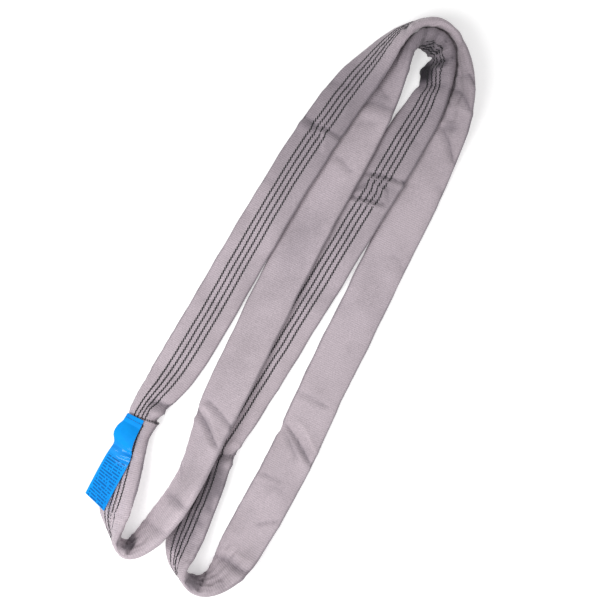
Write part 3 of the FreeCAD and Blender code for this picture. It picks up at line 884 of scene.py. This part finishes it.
# ---- the label ----
# Rows down the label: y, left edge, right edge, height of the middle, arch across.
LABEL_TOP_ROWS = [
    (-270.5, -131.2, -102.6, 25.2, 0.6), (-273, -131.4, -102.3, 25.4, 0.6), (-277, -131.6, -102.0, 25.5, 0.7),
    (-281, -131.8, -101.6, 25.4, 0.8), (-283.7, -132.0, -101.4, 24.6, 0.9), (-286, -132.6, -101.2, 25.5, 1.2),
    (-290, -134.2, -100.8, 26.8, 2.0), (-295, -135.6, -100.2, 28.0, 2.8), (-301, -136.0, -99.4, 28.7, 3.3),
    (-306, -135.6, -98.6, 28.9, 3.2), (-311, -133.4, -97.4, 28.6, 2.6), (-315, -130.2, -96.4, 28.0, 2.0),
    (-318, -128.2, -95.4, 27.4, 1.4),
]
LABEL_STRIP_ROWS = [
    (-318, -128.2, -95.4, 27.4, 1.4), (-320.5, -127.4, -94.0, 26.4, 1.0), (-322.7, -127.0, -92.6, 25.6, 0.8),
    (-325, -126.8, -91.6, 26.6, 1.0), (-328, -127.0, -90.6, 28.2, 1.2), (-332, -127.4, -89.8, 28.0, 1.3),
    (-336, -127.8, -89.4, 27.0, 1.2), (-340, -128.0, -89.2, 27.6, 1.2), (-348, -128.2, -89.0, 27.4, 1.2),
    (-360, -128.2, -88.8, 26.6, 1.0), (-372, -128.0, -88.6, 25.6, 0.6), (-384, -127.6, -88.2, 24.8, 0.3),
    (-396, -127.2, -87.6, 24.4, 0.1), (-406, -126.8, -87.0, 24.4, -0.2), (-413, -126.4, -86.6, 24.8, -0.5),
]
LABEL_COLUMNS = 17
LABEL_FINE = 3            # rows of points to each row above
LABEL_TILT = 0.268        # rise across the label
LABEL_THICK = 0.9
LABEL_SLANT = 7.0         # the right corner of the tip hangs this much lower
HEM_RISE = 3.0            # and the right corner of the sewn edge stands this much higher
PINCH = -328              # y of the pinch under the hump,
PINCH_REACH = 9.0         # how far its ridges reach,
PINCH_RIDGE = 1.3         # and how high they are
SEAM_ROW = 6              # the row of points that the seam follows
SEAM_STITCHES = 9


def label_surface(rows):
    """The label's top face, as rows of points, with how far each lies down and across it."""
    table = np.array(rows)
    fine = np.linspace(0, len(table) - 1, (len(table) - 1) * LABEL_FINE + 1)
    y, left, right, height, arch = (np.interp(fine, np.arange(len(table)), c) for c in table.T)
    share = np.linspace(0, 1, LABEL_COLUMNS)
    x = left[:, None] + (right - left)[:, None] * share
    hem = smooth_step((y + 300) / 28)[:, None]
    tip = smooth_step((-y - 330) / 80)[:, None]
    slant = share[None, :] * (HEM_RISE * hem - LABEL_SLANT * tip)
    z = height[:, None] + LABEL_TILT * (x - (left + right)[:, None] / 2)
    z = z + arch[:, None] * (1 - (2 * share - 1) ** 2)
    z = z + 0.35 * wobble(50, x / 13, y[:, None] / 13)
    # the ridges that run across the pinch
    ridge = PINCH_RIDGE * np.exp(-((y - PINCH) / PINCH_REACH) ** 2)[:, None]
    z = z + ridge * np.sin((y[:, None] - 0.35 * x) / 1.9) * smooth_step((share[None, :] - 0.15) / 0.5)
    points = np.stack([x - CENTRE[0], y[:, None] + slant - CENTRE[1], z], -1)
    return points, np.broadcast_to(y[:, None], x.shape), np.broadcast_to(share, x.shape)


def make_label_panel(name, rows):
    """A panel of the label with its print coordinates, and which side is its front."""
    top, down, share = label_surface(rows)
    along = np.gradient(top, axis=0)
    over = np.gradient(top, axis=1)
    normal = unit(np.cross(along, over))
    normal = normal * np.sign(normal[..., 2:3])
    low = top - normal * LABEL_THICK
    rings = np.concatenate([top, low[:, ::-1]], axis=1)
    count = rings.shape[1]
    faces = grid_faces(len(rings), count)[:-2]
    half = count // 2
    for r, turn in ((0, 1), (len(rings) - 1, -1)):
        base = r * count
        for k in range(half - 1):
            faces.append([base + k, base + count - 1 - k, base + count - 2 - k, base + k + 1][::turn])
    piece = make_mesh(name, rings, faces)
    shares = np.concatenate([share, share[:, ::-1]], axis=1).ravel()
    downs = np.concatenate([down, down[:, ::-1]], axis=1).ravel()
    front = np.concatenate([np.ones(share.shape), np.zeros(share.shape)], axis=1).ravel()
    corner = corner_points(piece.data)
    lay_map(piece.data, "print", shares[corner] * LABEL_WIDTH, -downs[corner] * MM)
    lay_map(piece.data, "side", front[corner], front[corner])
    bevel = piece.modifiers.new("soft edge", "BEVEL")
    bevel.width = 0.25 * MM
    bevel.segments = 2
    bevel.limit_method = "ANGLE"
    bevel.angle_limit = math.radians(50)
    return piece


def make_label_stitches():
    """The seam along the label's sewn edge."""
    top, _, _ = label_surface(LABEL_TOP_ROWS)
    share = (np.arange(SEAM_STITCHES) + 0.5) / SEAM_STITCHES * (LABEL_COLUMNS - 1)
    columns = np.arange(LABEL_COLUMNS)
    line = np.stack([np.interp(share, columns, top[SEAM_ROW, :, k]) for k in range(3)], -1)
    step = np.gradient(line, axis=0) * 0.36
    above = np.array([-0.25, 0, 0.97])
    line = line + above * 0.3
    return capsules("label_seam", line - step, line + step, np.tile(above, (SEAM_STITCHES, 1)), 0.5)


# ---- the studio ----
HEIGHT = 1.8              # camera over the floor, metres
VIEW = 0.950              # width of floor it takes in
AIM = (-0.00035, -0.00415)
CAMERA_TURN = 30.0
SENSOR = 36.0
FLOOR_HALF = 6000.0


def make_camera():
    camera = bpy.data.objects.new("camera", bpy.data.cameras.new("camera"))
    bpy.context.scene.collection.objects.link(camera)
    camera.data.sensor_width = SENSOR
    camera.data.lens = SENSOR * HEIGHT / VIEW
    camera.location = (*AIM, HEIGHT)
    camera.rotation_euler = (0, 0, math.radians(CAMERA_TURN))
    bpy.context.scene.camera = camera


def make_light(name, place, size, power):
    """A round white light that looks at the middle of the floor."""
    light = bpy.data.objects.new(name, bpy.data.lights.new(name, "AREA"))
    bpy.context.scene.collection.objects.link(light)
    light.data.shape = "DISK"
    light.data.size = size
    light.data.energy = power
    light.location = place
    light.rotation_euler = (-Vector(place)).to_track_quat("-Z", "Y").to_euler()


def make_studio():
    corners = np.array([(-1, -1, 0), (1, -1, 0), (1, 1, 0), (-1, 1, 0)]) * FLOOR_HALF
    floor = make_mesh("floor", corners, [[0, 1, 2, 3]])
    give(floor, floor_material())
    world = bpy.data.worlds.new("studio")
    bpy.context.scene.world = world
    world.use_nodes = True
    background = world.node_tree.nodes["Background"]
    background.inputs["Color"].default_value = (1.0, 1.0, 1.0, 1)
    background.inputs["Strength"].default_value = 0.5
    make_light("key", (-0.75, -1.15, 1.9), 1.5, 34)
    make_light("fill", (0.9, -0.7, 2.2), 1.8, 12)


bpy.context.scene.view_settings.view_transform = "Standard"
make_camera()
make_studio()

s, u, v, points, inner, shade = shape_sleeve()
skin = Skin(s, u, points, inner)
cloth = cloth_material()
black = thread_material("black_thread_strands", (0.008, 0.008, 0.010), (0.03, 0.03, 0.034))
blue = thread_material("blue_thread_strands", (0.006, 0.09, 0.32), (0.02, 0.16, 0.45))
yarn = yarn_material()


def finish_piece(piece, material, slot, *nodes, body="sling"):
    """Gives a piece its material, parents it to its body when it has one, and hides the frame's parts it
    replaces.
    """
    give(piece, material)
    if body:
        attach(piece, body)
    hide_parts(*nodes)
    return piece


sleeve = make_mesh("woven_sleeve", points, grid_faces(len(s), AROUND))
lay_weave(sleeve, s, u, v, shade)
finish_piece(sleeve, cloth, "sleeve_cloth", "cover_sleeve")

for number, share in enumerate(LINE_PLACES, 1):
    finish_piece(make_tonne_line(skin, number, share), black, "black_thread", "tonne_line_%d" % number)
finish_piece(make_joint_thread(skin), black, "black_thread", "joint_thread")

for number in range(YARN_TURNS):
    finish_piece(make_yarn_turn(skin, number), yarn, "core_yarn", "core_turn_%02d" % (number + 1))
finish_piece(make_yarn_tape(), tape_material(), "core_tape", "core_tape")

label_top = make_label_panel("label_upper_panel", LABEL_TOP_ROWS)
finish_piece(label_top, label_material(False), "label_cloth", "label_hem", "label_flap", body=None)
label_strip = make_label_panel("label_lower_panel", LABEL_STRIP_ROWS)
finish_piece(label_strip, label_material(True), "label_cloth", "label_strip", body=None)
finish_piece(make_label_stitches(), blue, "label_thread", "label_stitches")
give(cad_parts["label_inner_tab"], label_material(False))


def apply_modifiers(piece):
    """Leaves the finished mesh on the piece, with no modifier."""
    depsgraph = bpy.context.evaluated_depsgraph_get()
    mesh = bpy.data.meshes.new_from_object(piece.evaluated_get(depsgraph), preserve_all_data_layers=True,
                                           depsgraph=depsgraph)
    piece.modifiers.clear()
    piece.data = mesh


def bend_at(piece):
    """Applies the piece's modifiers and bakes its placement into its mesh."""
    apply_modifiers(piece)
    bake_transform(piece)


bend_at(label_top)
bend_at(label_strip)
